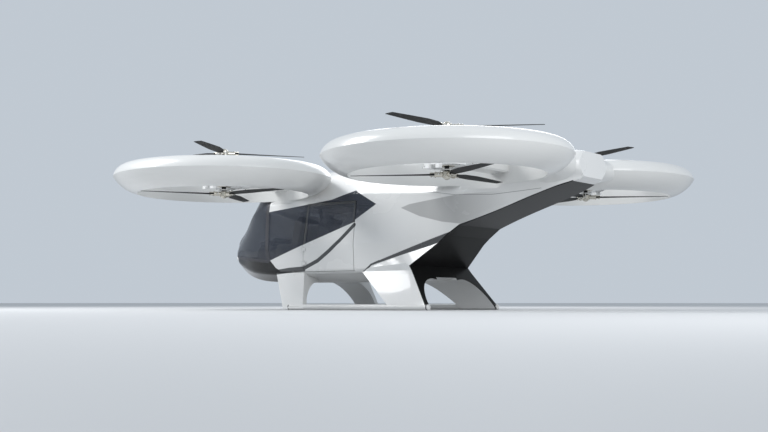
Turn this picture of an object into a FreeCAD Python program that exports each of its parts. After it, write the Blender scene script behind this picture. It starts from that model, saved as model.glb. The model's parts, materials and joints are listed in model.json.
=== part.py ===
"""Air taxi with four ducted rotor pairs on a skid gear, built as named sub-parts.

Frame in millimetres: +Z up, the nose towards -Y, the port side at +X, the origin on the
ground under the middle of the four ducts. Each sub-part is written to parts/NODE.step.
"""
import FreeCAD, Part
import math
import os

V = FreeCAD.Vector
AXIS_X = V(1, 0, 0)
AXIS_Y = V(0, 1, 0)
AXIS_Z = V(0, 0, 1)

# Ducts: where they stand and their wall section
DUCT_X = 2140.0
DUCT_Y = 2290.0
BORE_RADIUS = 1430.0
DUCT_LOW = 1940.0
DUCT_HEIGHT = 460.0
DUCT_WALL = 400.0
DUCT_EDGE = 10.0
LIP_RADIUS = 110.0
BELLY_RISE = 270.0
DUCT_TOP = DUCT_LOW + DUCT_HEIGHT
BORE_CLEAR_DEPTH = 60.0
SKY = 3200.0

# Motor housing and its strut
HOUSING_RADIUS = 325.0
HOUSING_LOW = 2075.0
HOUSING_HEIGHT = 390.0
GROOVE_Z = 2285.0
GROOVE_HEIGHT = 14.0
GROOVE_DEPTH = 12.0
STRUT_WIDTH = 350.0
STRUT_LOW = 2105.0
STRUT_HEIGHT = 285.0
STRUT_CHAMFER = 25.0
FLANGE_RADIUS = 430.0
FLANGE_THICK = 24.0

# Rotors
ROTOR_TIP = 1400.0
LOWER_PLANE = 1955.0
UPPER_PLANE = 2650.0
BLADES = 3
HUB_RADIUS = 62.0
HUB_HEIGHT = 80.0
SHAFT_RADIUS = 36.0
SHAFT_DEPTH = 60.0
RUNNING_GAP = 0.3
GRIP_RADIUS = 26.0
GRIP_LENGTH = 210.0
# Blade stations: distance from the shaft, chord, thickness, pitch in degrees
BLADE_STATIONS = (
    (170.0, 70.0, 30.0, 16.0),
    (330.0, 150.0, 24.0, 14.0),
    (620.0, 190.0, 20.0, 11.0),
    (1050.0, 165.0, 15.0, 8.0),
    (ROTOR_TIP, 130.0, 10.0, 6.0),
)

# Skid gear
SKID_X = 1020.0
SKID_RADIUS = 47.0
SKID_FRONT = -1830.0
SKID_REAR = 1180.0
LEG_THICK = 110.0
ARCH_CROWN = 500.0

# Cabin walls, glass and door
WALL = 40.0
GLASS = 10.0
SKIN = 12.0
FLOOR_TOP = 640.0
FLOOR_THICK = 40.0
BELLY_SPLIT = 600.0
ROOF_SPLIT_X = 470.0
ROOF_SPLIT_Z = 2100.0
TAIL_SPLIT = 1150.0
BULKHEAD_Y = 300.0
BULKHEAD_THICK = 40.0
KEEP_OUT = 40.0
DOOR_HINGE_X = 888.0
DOOR_FRONT = -1620.0
DOOR_LENGTH = 1120.0
DOOR_LOW = 660.0
DOOR_TOP = 1840.0
DOOR_GAP = 8.0
DOOR_REAR_GAP = 12.0
DOOR_FRAME = 40.0
# Door hinges: centre heights, knuckle between two ears on a pin
HINGE_LEVELS = (800.0, 1040.0)
KNUCKLE_RADIUS = 16.0
KNUCKLE_HEIGHT = 60.0
EAR_HEIGHT = 16.0
HINGE_PIN_RADIUS = 8.0
HINGE_END_GAP = 1.0
HINGE_NOTCH = 2.5
HINGE_ARM = 60.0
PILLAR_HALF = 40.0
SILL_HALF = 25.0

# Body sections from nose to tail. Columns: Y, then half-width and height of the belly edge,
# the low chine, the side, the shoulder and the roof edge
SECTIONS = (
    (-3900, (70, 985), (130, 1005), (150, 1060), (120, 1130), (65, 1165)),
    (-3620, (260, 715), (430, 850), (480, 1100), (350, 1370), (200, 1500)),
    (-3200, (380, 560), (640, 730), (720, 1100), (560, 1660), (330, 1950)),
    (-2700, (420, 500), (780, 650), (860, 1050), (730, 1850), (470, 2340)),
    (-2000, (400, 490), (850, 630), (880, 1100), (740, 1900), (500, 2420)),
    (-1000, (400, 490), (850, 630), (880, 1100), (760, 1950), (520, 2410)),
    (0, (400, 500), (810, 640), (850, 1100), (780, 1950), (540, 2385)),
    (700, (380, 520), (690, 720), (760, 1100), (800, 1900), (560, 2375)),
    (1500, (400, 900), (530, 1100), (610, 1360), (870, 1890), (580, 2380)),
    (2400, (380, 1330), (440, 1480), (500, 1650), (720, 2000), (560, 2395)),
    (3300, (300, 1700), (340, 1830), (380, 1940), (620, 2150), (440, 2420)),
    (3520, (240, 1890), (262, 1960), (300, 2020), (470, 2180), (330, 2400)),
)
CORNER_RADII = (90.0, 110.0, 200.0, 110.0, 150.0)

# Side view of the back of the body, as (Y, Z)
FOOT_REAR = (1170.0, 20.0)
NOTCH = (671.0, 717.0)
ARM_TIP = (1250.0, 1195.0)
KINK = (1480.0, 1350.0)
TAIL_CORNER = (3370.0, 1950.0)
TAIL_END = 3560.0

# Side window outline on the body side, as (Y, Z)
WINDOW = (
    (-2550.0, 1750.0),
    (-1060.0, 1890.0),
    (-540.0, 2020.0),
    (-60.0, 1760.0),
    (-620.0, 1440.0),
    (-2430.0, 870.0),
)
PILLAR = ((-2610.0, SKY), (-2590.0, 1750.0), (-2470.0, 850.0))
SILL = ((-2470.0, 850.0), (-4100.0, 1010.0))
NOSE_SPLIT = ((-2180.0, 870.0), (-2900.0, 0.0))


def polygon_face(points):
    """Planar face through the given corner points."""
    return Part.Face(Part.makePolygon(list(points) + [points[0]]))


def side_prism(outline, x_low=-1500.0, x_high=1500.0):
    """Solid whose side view is the outline of (Y, Z) points, between two X planes."""
    face = polygon_face([V(x_low, y, z) for y, z in outline])
    return face.extrude(V(x_high - x_low, 0, 0))


def plan_prism(outline, z_low=0.0, z_high=SKY):
    """Solid whose plan is the outline of (X, Y) points, between two heights."""
    face = polygon_face([V(x, y, z_low) for x, y in outline])
    return face.extrude(V(0, 0, z_high - z_low))


def block(low, high):
    """Box between two corner points."""
    return Part.makeBox(high[0] - low[0], high[1] - low[1], high[2] - low[2], V(*low))


def cylinder(x, y, z_low, z_high, radius):
    """Upright cylinder."""
    return Part.makeCylinder(radius, z_high - z_low, V(x, y, z_low))


def mirrored(shape):
    """The same piece on the starboard side."""
    return shape.mirror(V(0, 0, 0), AXIS_X)


def biggest(shape):
    """The largest solid of a cut, without slivers."""
    return max(shape.Solids, key=lambda solid: solid.Volume)


def kept(shape, least=2.0e4):
    """The solids of a cut that are larger than a sliver, as one shape."""
    solids = [solid for solid in shape.Solids if solid.Volume > least]
    return solids[0] if len(solids) == 1 else Part.makeCompound(solids)


def band(points, half):
    """Side-view strip of the given half-width along a line of (Y, Z) points."""
    left, right = [], []
    for index, (y, z) in enumerate(points):
        before = points[max(index - 1, 0)]
        after = points[min(index + 1, len(points) - 1)]
        dy, dz = after[0] - before[0], after[1] - before[1]
        length = math.hypot(dy, dz)
        left.append((y - dz / length * half, z + dy / length * half))
        right.append((y + dz / length * half, z - dy / length * half))
    return side_prism(left + right[::-1])


def rounded_wire(points, radii):
    """Closed wire of straight runs joined by tangent arcs, one radius to a corner."""
    count = len(points)
    runs, arcs = [], []
    for index in range(count):
        corner = points[index]
        back = points[index - 1] - corner
        ahead = points[(index + 1) % count] - corner
        half = back.getAngle(ahead) / 2.0
        reach = min(radii[index] / math.tan(half), 0.42 * min(back.Length, ahead.Length))
        radius = reach * math.tan(half)
        back.normalize()
        ahead.normalize()
        middle = back + ahead
        middle.normalize()
        centre = corner + middle * (radius / math.sin(half))
        start, end = corner + back * reach, corner + ahead * reach
        arcs.append((start, centre - middle * radius, end))
    edges = []
    for index in range(count):
        start, top, end = arcs[index]
        edges.append(Part.Arc(start, top, end).toShape())
        edges.append(Part.LineSegment(end, arcs[(index + 1) % count][0]).toShape())
    return Part.Wire(edges)


def inset(corners, distance):
    """Corner points of a closed (X, Z) outline moved inward by a distance."""
    count = len(corners)
    result = []
    for index in range(count):
        before, here, after = corners[index - 1], corners[index], corners[(index + 1) % count]
        first = (here[0] - before[0], here[1] - before[1])
        second = (after[0] - here[0], after[1] - here[1])
        n1 = (-first[1] / math.hypot(*first), first[0] / math.hypot(*first))
        n2 = (-second[1] / math.hypot(*second), second[0] / math.hypot(*second))
        scale = distance / (1.0 + n1[0] * n2[0] + n1[1] * n2[1])
        result.append((here[0] + (n1[0] + n2[0]) * scale, here[1] + (n1[1] + n2[1]) * scale))
    return result


def body_loft(distance):
    """The body's outer form, or the same form moved inward by a distance."""
    wires = []
    for index, (y, *half) in enumerate(SECTIONS):
        corners = list(half) + [(-x, z) for x, z in reversed(half)]
        radii = CORNER_RADII + CORNER_RADII[::-1]
        if distance:
            corners = inset(corners, distance)
            radii = [max(radius - distance, 20.0) for radius in radii]
        shift = distance if index == 0 else 0.0
        if index == len(SECTIONS) - 1:
            shift = -distance
        wires.append(rounded_wire([V(x, y + shift, z) for x, z in corners], radii))
    return Part.makeLoft(wires, True, False, False, 3)


def duct_outline(with_bore):
    """Section of a duct, or of the whole room that it and its air need."""
    inner, outer = BORE_RADIUS, BORE_RADIUS + DUCT_WALL
    widest = DUCT_LOW + BELLY_RISE
    lip = V(inner, 0, DUCT_TOP - LIP_RADIUS)
    lip_top = V(inner + LIP_RADIUS, 0, DUCT_TOP)
    bulge = V(outer, 0, widest)
    crown = Part.Arc(lip_top, V(inner + 0.80 * DUCT_WALL, 0, DUCT_TOP - 52.0), bulge)
    under = Part.Arc(bulge, V(inner + 0.62 * DUCT_WALL, 0, DUCT_LOW + 100.0),
                     V(inner + DUCT_EDGE, 0, DUCT_LOW))
    if with_bore:
        lip_middle = LIP_RADIUS * (1.0 - math.cos(math.pi / 4))
        edges = [Part.LineSegment(V(inner, 0, DUCT_LOW), lip).toShape(),
                 Part.Arc(lip, V(inner + lip_middle, 0, DUCT_TOP - lip_middle),
                          lip_top).toShape(),
                 crown.toShape(), under.toShape(),
                 Part.LineSegment(V(inner + DUCT_EDGE, 0, DUCT_LOW),
                                  V(inner, 0, DUCT_LOW)).toShape()]
    else:
        low = DUCT_LOW - BORE_CLEAR_DEPTH
        path = [V(inner + DUCT_EDGE, 0, DUCT_LOW), V(inner, 0, DUCT_LOW), V(inner, 0, low),
                V(0, 0, low), V(0, 0, SKY), V(inner, 0, SKY), V(inner, 0, DUCT_TOP), lip_top]
        edges = [crown.toShape(), under.toShape()]
        edges += [Part.LineSegment(a, b).toShape() for a, b in zip(path, path[1:])]
    return Part.Face(Part.Wire(Part.__sortEdges__(edges)))


def duct_solid(with_bore, x, y):
    """A duct, or the room it takes, at its place."""
    solid = duct_outline(with_bore).revolve(V(0, 0, 0), AXIS_Z, 360)
    solid.translate(V(x, y, 0))
    return solid


def strut(y, duct):
    """Box beam from the duct's inner wall to the motor housing, on the port side."""
    half = STRUT_WIDTH / 2.0
    low, top, cut = STRUT_LOW, STRUT_LOW + STRUT_HEIGHT, STRUT_CHAMFER
    outline = [(-half + cut, low), (half - cut, low), (half, low + cut), (half, top - cut),
               (half - cut, top), (-half + cut, top), (-half, top - cut), (-half, low + cut)]
    start = DUCT_X - BORE_RADIUS - 60.0
    face = polygon_face([V(start, y + a, z) for a, z in outline])
    beam = face.extrude(V(DUCT_X - start, 0, 0))
    beam = beam.cut(cylinder(DUCT_X, y, 0, SKY, HOUSING_RADIUS))
    return biggest(beam.cut(duct))


def motor_housing(y):
    """Round housing of the motor pair, with its groove, lower flange and lugs."""
    top = HOUSING_LOW + HOUSING_HEIGHT
    body = cylinder(DUCT_X, y, HOUSING_LOW, top, HOUSING_RADIUS)
    ring = cylinder(DUCT_X, y, GROOVE_Z, GROOVE_Z + GROOVE_HEIGHT, HOUSING_RADIUS + 5.0)
    ring = ring.cut(cylinder(DUCT_X, y, GROOVE_Z, GROOVE_Z + GROOVE_HEIGHT,
                             HOUSING_RADIUS - GROOVE_DEPTH))
    body = body.cut(ring)
    flange = cylinder(DUCT_X, y, HOUSING_LOW, HOUSING_LOW + FLANGE_THICK, FLANGE_RADIUS)
    flange = flange.common(block((DUCT_X - 500, y - 500, 0), (DUCT_X, y + 500, SKY)))
    body = body.fuse(flange)
    for low, high in ((HOUSING_LOW - 60, HOUSING_LOW + 20), (top - 80, top)):
        for side in (-1, 1):
            x = DUCT_X + HOUSING_RADIUS - 25
            lug = block((x, y + side * 90 - 32, low), (x + 70, y + side * 90 + 32, high))
            body = body.fuse(lug)
    bore = SHAFT_RADIUS + RUNNING_GAP
    body = body.cut(cylinder(DUCT_X, y, HOUSING_LOW - 1, HOUSING_LOW + SHAFT_DEPTH, bore))
    body = body.cut(cylinder(DUCT_X, y, top - SHAFT_DEPTH, top + 1, bore))
    return biggest(body.removeSplitter())


def blade():
    """One blade along +X, with its round grip at the hub."""
    wires = []
    for radius, chord, thick, pitch in BLADE_STATIONS:
        shape = ((-0.35, 0.0), (-0.22, 0.5), (0.15, 0.42), (0.65, 0.0), (0.15, -0.34),
                 (-0.22, -0.38))
        angle = math.radians(pitch)
        points = []
        for along, up in shape:
            y, z = along * chord, up * thick
            points.append(V(radius, y * math.cos(angle) - z * math.sin(angle),
                            y * math.sin(angle) + z * math.cos(angle)))
        wires.append(Part.makePolygon(points + [points[0]]))
    solid = Part.makeLoft(wires, True, True)
    grip = Part.makeCylinder(GRIP_RADIUS, GRIP_LENGTH - 20.0, V(20.0, 0, 0), AXIS_X)
    return solid.fuse(grip)


def rotor(y, plane, first_angle, shaft_low, shaft_high, spin):
    """Hub, shaft and blades of one rotor on the port side."""
    hub = cylinder(0, 0, -HUB_HEIGHT / 2, HUB_HEIGHT / 2, HUB_RADIUS)
    one = blade()
    if spin < 0:
        one = one.mirror(V(0, 0, 0), AXIS_Y)
    for index in range(BLADES):
        turned = one.copy()
        turned.rotate(V(0, 0, 0), AXIS_Z, first_angle + index * 360.0 / BLADES)
        hub = hub.fuse(turned)
    hub.translate(V(DUCT_X, y, plane))
    hub = hub.fuse(cylinder(DUCT_X, y, shaft_low, shaft_high, SHAFT_RADIUS))
    return biggest(hub)


def skid_tube():
    """Port skid tube with rounded ends."""
    tube = Part.makeCylinder(SKID_RADIUS, SKID_REAR - SKID_FRONT,
                             V(SKID_X, SKID_FRONT, SKID_RADIUS), AXIS_Y)
    ends = [edge for edge in tube.Edges if edge.Curve.TypeId == "Part::GeomCircle"]
    return tube.makeFillet(0.5 * SKID_RADIUS, ends)


def leg_slab():
    """Front view of both leg pairs' port half: outer face, foot and inner arch."""
    outer_foot, inner_foot = SKID_X + LEG_THICK / 2, SKID_X - LEG_THICK / 2
    points = [V(300, -2600, ARCH_CROWN), V(300, -2600, 760), V(852, -2600, 760),
              V(862, -2600, 640), V(outer_foot, -2600, 20), V(inner_foot, -2600, 20)]
    edges = [Part.LineSegment(a, b).toShape() for a, b in zip(points, points[1:])]
    arch = Part.Arc(points[-1], V(760, -2600, 400), points[0])
    edges.append(arch.toShape())
    return Part.Face(Part.Wire(edges)).extrude(V(0, 4200, 0))


def front_leg(body):
    """Port front leg, a flat blade swept back to the skid."""
    outline = [(-2260, 640), (-1900, 20), (-1440, 20), (-1600, 640)]
    leg = leg_slab().common(side_prism(outline, 500, 1500))
    return biggest(leg.cut(body).cut(skid_tube()))


def rear_leg(body):
    """Port rear leg with the arm that runs up beside the tail."""
    outline = [(-310, 640), (440, 20), FOOT_REAR, NOTCH, (560, 760), (-150, 700)]
    leg = leg_slab().common(side_prism(outline, 300, 1500))
    outer = [V(862, -310, 640), V(853, *NOTCH), V(600, *ARM_TIP), V(770, 400, 910)]
    inner = [V(400, point.y, point.z) for point in outer]
    faces = [(outer[0], outer[1], outer[3]), (outer[1], outer[2], outer[3]),
             (inner[0], inner[3], inner[1]), (inner[1], inner[3], inner[2])]
    for index in range(4):
        follow = (index + 1) % 4
        faces.append((outer[index], inner[index], inner[follow]))
        faces.append((outer[index], inner[follow], outer[follow]))
    shell = Part.Shell([polygon_face(face) for face in faces])
    arm = Part.Solid(shell)
    if arm.Volume < 0:
        arm.reverse()
    return biggest(leg.fuse(arm).cut(body).cut(skid_tube()))


def hinge_leaf(z_low, z_high, side):
    """Rounded hinge leaf around the door's axis, with its arm ahead (-1) or behind (+1)."""
    x, y = DOOR_HINGE_X, DOOR_FRONT
    barrel = cylinder(x, y, z_low, z_high, KNUCKLE_RADIUS)
    ends = sorted((y, y + side * HINGE_ARM))
    arm = block((x - WALL, ends[0], z_low), (x + KNUCKLE_RADIUS / 2, ends[1], z_high))
    return barrel.fuse(arm)


def hang_door(side, door):
    """The side with its hinge ears and pins, and the door with its knuckles."""
    x, y = DOOR_HINGE_X, DOOR_FRONT
    notch = KNUCKLE_RADIUS + HINGE_NOTCH
    for level in HINGE_LEVELS:
        low, high = level - KNUCKLE_HEIGHT / 2, level + KNUCKLE_HEIGHT / 2
        ear_low = low - HINGE_END_GAP - EAR_HEIGHT
        ear_high = high + HINGE_END_GAP + EAR_HEIGHT
        side = side.cut(cylinder(x, y, low - HINGE_END_GAP, high + HINGE_END_GAP, notch))
        door = door.cut(cylinder(x, y, ear_low - HINGE_END_GAP, ear_high + HINGE_END_GAP, notch))
        side = side.fuse(hinge_leaf(ear_low, ear_low + EAR_HEIGHT, -1))
        side = side.fuse(hinge_leaf(ear_high - EAR_HEIGHT, ear_high, -1))
        side = side.fuse(cylinder(x, y, ear_low, ear_high, HINGE_PIN_RADIUS))
        bore = cylinder(x, y, low, high, HINGE_PIN_RADIUS + RUNNING_GAP)
        door = door.fuse(hinge_leaf(low, high, 1)).cut(bore)
    return biggest(side), biggest(door)


def seat(x, y):
    """One seat: pedestal, cushion, back and head rest in one moulding."""
    outline = [(0, 0), (420, 0), (470, 330), (640, 1010), (560, 1040), (500, 960),
               (400, 480), (350, 440), (0, 470), (-40, 420), (-30, 340), (40, 300)]
    points = [V(x - 230, y + a, FLOOR_TOP + b) for a, b in outline]
    moulding = polygon_face(points).extrude(V(460, 0, 0))
    return moulding


def build():
    """All sub-parts by node name."""
    parts = {}
    ducts, rooms, keep_out = {}, [], []
    for name, y in (("front", -DUCT_Y), ("rear", DUCT_Y)):
        port = duct_solid(True, DUCT_X, y)
        ducts[name] = port
        parts["duct_%s_port" % name] = port
        parts["duct_%s_starboard" % name] = mirrored(port)
        for x in (DUCT_X, -DUCT_X):
            rooms.append(duct_solid(False, x, y))
            keep_out.append(cylinder(x, y, DUCT_LOW - KEEP_OUT, SKY,
                                     BORE_RADIUS + DUCT_WALL + KEEP_OUT))

    # Body: outer form, cut to the back profile and to the ducts' room
    back_cut = side_prism([(820, -200), (820, ARCH_CROWN - 1), NOTCH, ARM_TIP, KINK, TAIL_CORNER,
                           (TAIL_END, 2030), (4200, 2030), (4200, -200)])
    outer = body_loft(0.0).cut(back_cut)
    glass_inner = body_loft(GLASS)
    wall_inner = body_loft(WALL)
    cavity_clip = side_prism([(-4200, 0), (600, 0), (620, 800), (1150, 1235),
                              (1150, SKY), (-4200, SKY)])
    cavity = wall_inner.common(cavity_clip)
    for cutter in keep_out:
        cavity = cavity.cut(cutter)
    for room in rooms:
        outer = outer.cut(room)
    outer = biggest(outer)
    cavity = biggest(cavity)
    wall = outer.cut(cavity)
    glass = outer.cut(glass_inner)

    # Back panel: a thin skin along the back profile, over body and rear legs
    legs_body = outer
    leg = rear_leg(legs_body)
    skin_line = [FOOT_REAR, NOTCH, ARM_TIP, KINK, TAIL_CORNER]
    skin = band(skin_line, SKIN)
    tail_skin = kept(outer.common(skin))
    leg_skin = kept(leg.common(skin))
    parts["back_panel"] = kept(tail_skin.fuse(leg_skin).fuse(mirrored(leg_skin)).removeSplitter())
    leg = biggest(leg.cut(skin))
    parts["rear_leg_port"] = leg
    parts["rear_leg_starboard"] = mirrored(leg)
    wall = wall.cut(skin)

    # Glass and its frame
    window = side_prism(WINDOW)
    pillar = band(PILLAR, PILLAR_HALF)
    sill = band(SILL, SILL_HALF)
    nose_zone = side_prism([(-4300, -100)] + [(-4300, SKY)] + list(PILLAR) + [(-2470, -100)])
    split_x, split_y = NOSE_SPLIT[0][1], NOSE_SPLIT[0][0]
    chin_zone = plan_prism([(-1500, -4300), (-1500, split_y), (-split_x, split_y),
                            (0, NOSE_SPLIT[1][0]), (split_x, split_y), (1500, split_y),
                            (1500, -4300)], 0, 1100)
    under_sill = side_prism([(-4300, -100), (-4300, 1030), SILL[0], (-2430, 870), (-2300, 740),
                             (-2100, 640), (-2100, -100)])
    chin_zone = chin_zone.common(under_sill)
    frame = pillar.fuse(sill)
    above_sill = nose_zone.cut(under_sill)
    parts["canopy_frame"] = biggest(wall.common(frame).common(nose_zone.fuse(pillar)))
    parts["windscreen"] = biggest(glass.common(above_sill).cut(frame))
    parts["nose_glass"] = biggest(glass.common(chin_zone).cut(frame))
    nose_all = above_sill.fuse(chin_zone).fuse(frame)

    # Doors
    door_high = cylinder(DOOR_HINGE_X, DOOR_FRONT, DOOR_LOW, DOOR_TOP, DOOR_LENGTH)
    room_high = cylinder(DOOR_HINGE_X, DOOR_FRONT, DOOR_LOW - DOOR_GAP, DOOR_TOP + DOOR_GAP,
                         DOOR_LENGTH + DOOR_REAR_GAP)
    half = DOOR_GAP / 2
    door_zone = door_high.common(block((200, DOOR_FRONT + half, 0), (1500, 1500, SKY)))
    door_room = room_high.common(block((200, DOOR_FRONT - half, 0), (1500, 1500, SKY)))
    inner_high = cylinder(DOOR_HINGE_X, DOOR_FRONT, DOOR_LOW + DOOR_FRAME, DOOR_TOP - DOOR_FRAME,
                          DOOR_LENGTH - DOOR_FRAME)
    inner_zone = inner_high.common(block((200, DOOR_FRONT + half + DOOR_FRAME, 0),
                                         (1500, 1500, SKY)))
    door_light = inner_zone.common(window)
    door = wall.common(door_zone).cut(door_light)
    door_glass = glass.common(door_light)
    parts["door_glass_port"] = biggest(door_glass)
    parts["door_glass_starboard"] = mirrored(parts["door_glass_port"])

    # Fixed side windows
    port_half = block((0, -4300, 0), (1600, 4300, SKY))
    side_light = window.cut(door_room).cut(frame).common(port_half)
    side_glass = kept(glass.common(side_light))
    parts["side_window_port"] = side_glass
    parts["side_window_starboard"] = mirrored(side_glass)

    # White shell: belly, sides, roof and tail
    shell = wall.cut(nose_all).cut(window)
    tail_zone = block((-1600, TAIL_SPLIT, 0), (1600, 4300, SKY))
    belly_zone = block((-1600, -4300, 0), (1600, TAIL_SPLIT, BELLY_SPLIT))
    roof_zone = block((-ROOF_SPLIT_X, -4300, ROOF_SPLIT_Z), (ROOF_SPLIT_X, TAIL_SPLIT, SKY))
    parts["tail_boom"] = biggest(shell.common(tail_zone))
    parts["belly_shell"] = biggest(shell.common(belly_zone))
    parts["roof_shell"] = biggest(shell.common(roof_zone))
    side = shell.cut(tail_zone).cut(belly_zone).cut(roof_zone).cut(door_room)
    side, door = hang_door(biggest(side.common(port_half)), biggest(door))
    parts["side_port"] = side
    parts["side_starboard"] = mirrored(side)
    parts["door_port"] = door
    parts["door_starboard"] = mirrored(door)

    # Inside
    floor_zone = block((-1200, -3300, FLOOR_TOP - FLOOR_THICK), (1200, BULKHEAD_Y, FLOOR_TOP))
    parts["cabin_floor"] = biggest(cavity.common(floor_zone))
    bulkhead_zone = block((-1200, BULKHEAD_Y, 0), (1200, BULKHEAD_Y + BULKHEAD_THICK, SKY))
    parts["rear_bulkhead"] = biggest(cavity.common(bulkhead_zone))
    battery_start = BULKHEAD_Y + BULKHEAD_THICK
    parts["battery_block"] = block((-400, battery_start, 1250), (400, battery_start + 620, 1800))
    seats = [seat(x, y) for y in (-2560, -1180) for x in (-320, 320)]
    parts["seats"] = Part.makeCompound(seats)
    panel = side_prism([(-3080, FLOOR_TOP), (-2880, FLOOR_TOP), (-2860, 1050), (-2780, 1150),
                        (-3060, 1200), (-3160, 1060)], -420, 420)
    parts["instrument_panel"] = panel

    # Landing gear
    parts["front_leg_port"] = front_leg(outer)
    parts["front_leg_starboard"] = mirrored(parts["front_leg_port"])
    parts["skid_port"] = skid_tube()
    parts["skid_starboard"] = mirrored(parts["skid_port"])

    # Struts, motors and rotors. Columns: name, Y, first blade angle up, first blade angle low
    housing_top = HOUSING_LOW + HOUSING_HEIGHT
    for name, y, angle_up, angle_low in (("front", -DUCT_Y, 28.0, 90.0),
                                         ("rear", DUCT_Y, 0.0, 60.0)):
        beam = strut(y, ducts[name])
        housing = motor_housing(y)
        upper = rotor(y, UPPER_PLANE, angle_up, housing_top - SHAFT_DEPTH + 5,
                      UPPER_PLANE + HUB_HEIGHT / 2, 1)
        lower = rotor(y, LOWER_PLANE, angle_low, LOWER_PLANE - HUB_HEIGHT / 2,
                      HOUSING_LOW + SHAFT_DEPTH - 5, -1)
        for node, shape in (("strut", beam), ("motor_housing", housing), ("rotor_upper", upper),
                            ("rotor_lower", lower)):
            parts["%s_%s_port" % (node, name)] = shape
            parts["%s_%s_starboard" % (node, name)] = mirrored(shape)
    return parts


os.makedirs("parts", exist_ok=True)
for node, shape in build().items():
    if not shape.isValid():
        print("not valid", node)
    print("%-28s solids %d  volume %.4f m3  faces %d" % (
        node, len(shape.Solids), shape.Volume / 1e9, len(shape.Faces)))
    shape.exportStep("parts/%s.step" % node)
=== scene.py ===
"""Looks of the four-duct air taxi: finishes of every CAD node and the fine pieces around them."""
import json
import logging
import math
from dataclasses import dataclass
from enum import Enum
from typing import Callable, Sequence

import bmesh
import bpy
from mathutils import Matrix, Vector

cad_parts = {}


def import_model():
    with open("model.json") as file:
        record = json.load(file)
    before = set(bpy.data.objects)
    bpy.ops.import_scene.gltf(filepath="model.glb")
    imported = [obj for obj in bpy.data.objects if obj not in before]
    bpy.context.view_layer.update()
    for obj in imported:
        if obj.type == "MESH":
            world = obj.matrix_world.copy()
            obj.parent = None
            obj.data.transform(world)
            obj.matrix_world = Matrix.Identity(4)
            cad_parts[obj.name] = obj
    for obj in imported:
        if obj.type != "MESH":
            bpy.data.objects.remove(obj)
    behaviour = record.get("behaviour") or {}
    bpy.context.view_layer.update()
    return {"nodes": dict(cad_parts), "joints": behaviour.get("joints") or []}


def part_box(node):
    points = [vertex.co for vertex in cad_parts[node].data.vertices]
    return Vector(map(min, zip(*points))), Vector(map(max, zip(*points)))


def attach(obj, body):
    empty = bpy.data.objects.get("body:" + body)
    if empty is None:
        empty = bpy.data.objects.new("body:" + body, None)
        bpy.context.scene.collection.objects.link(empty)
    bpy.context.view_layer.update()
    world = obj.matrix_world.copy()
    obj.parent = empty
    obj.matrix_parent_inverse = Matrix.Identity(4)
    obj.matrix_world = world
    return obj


LOG = logging.getLogger("air_taxi")
ENDS = ("front", "rear")
SIDES = ("port", "starboard")
LEVELS = ("upper", "lower")
SEATS_X = (-0.32, 0.32)
SEAT_ROWS_Y = (-2.56, -1.18)
Point = tuple[float, float]
Colour = tuple[float, float, float, float]

# Places on the body's side, as (Y, Z) in metres
WINDOW_LOW_REAR: Point = (-0.62, 1.44)
WINDOW_LOW_FRONT: Point = (-2.43, 0.87)
FRONT_STRIPE: tuple[Point, ...] = ((-0.50, 1.43), (-0.80, 1.17), (-1.015, 1.012),
                                   (-1.29, 0.842), (-1.62, 0.712))
FRONT_STRIPE_LOW: tuple[Point, ...] = ((-1.62, 0.704), (-1.96, 0.688), (-2.36, 0.650))
REAR_STRIPE: tuple[Point, ...] = ((-0.30, 0.625), (-0.14, 0.750), (0.02, 0.806))
REAR_WEDGE: tuple[Point, ...] = ((-0.14, 0.735), (1.28, 1.125), (1.46, 1.300), (-0.14, 0.764))
ROOF_SEAM: tuple[Point, ...] = ((0.27, 2.24), (0.43, 2.12), (0.58, 2.02), (0.75, 1.955),
                                (1.05, 1.892), (1.55, 1.812), (2.13, 1.795), (2.90, 1.86))
# Painted shade under the rear shoulder: corners of the grey wedge that stands in for the shade on
# its down-facing underside, then the Y span over which it fades out
SHOULDER_SHADE: tuple[Point, ...] = ((0.45, 1.667), (0.81, 1.516), (1.21, 1.411), (1.52, 1.370),
                               (2.40, 1.650), (2.40, 1.843), (1.55, 1.812), (1.25, 1.783),
                               (0.93, 1.752), (0.62, 1.718))
SHOULDER_SHADE_FADE: Point = (1.45, 2.35)


class Side(Enum):
    """The two sides of the craft, as the sign of X."""

    PORT = 1
    STARBOARD = -1


# Node helpers

def new_group(name: str, inputs: Sequence[tuple[str, str, object]],
              outputs: Sequence[tuple[str, str]]) -> bpy.types.NodeTree:
    """Makes an empty shader group with named sockets.

    Args:
        name: The group's name.
        inputs: Name, socket type and first value of each input.
        outputs: Name and socket type of each output.

    Returns:
        The new group, with its input and output nodes named "in" and "out".
    """
    tree = bpy.data.node_groups.new(name, "ShaderNodeTree")
    for title, kind, value in inputs:
        made = tree.interface.new_socket(name=title, in_out="INPUT", socket_type=kind)
        made.default_value = value
    for title, kind in outputs:
        tree.interface.new_socket(name=title, in_out="OUTPUT", socket_type=kind)
    start = tree.nodes.new("NodeGroupInput")
    start.name = "in"
    end = tree.nodes.new("NodeGroupOutput")
    end.name = "out"
    return tree


def math_node(tree: bpy.types.NodeTree, operation: str, first: object,
              second: object = None, third: object = None) -> bpy.types.NodeSocket:
    """Adds one Math node and returns its value.

    Args:
        tree: The node tree to add to.
        operation: The Math node's operation.
        first: A socket or a number.
        second: A socket or a number, if the operation takes it.
        third: A socket or a number, if the operation takes it.

    Returns:
        The node's output socket.
    """
    node = tree.nodes.new("ShaderNodeMath")
    node.operation = operation
    for index, value in enumerate((first, second, third)):
        if value is None:
            continue
        if isinstance(value, bpy.types.NodeSocket):
            tree.links.new(value, node.inputs[index])
        else:
            node.inputs[index].default_value = float(value)
    return node.outputs[0]


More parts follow.
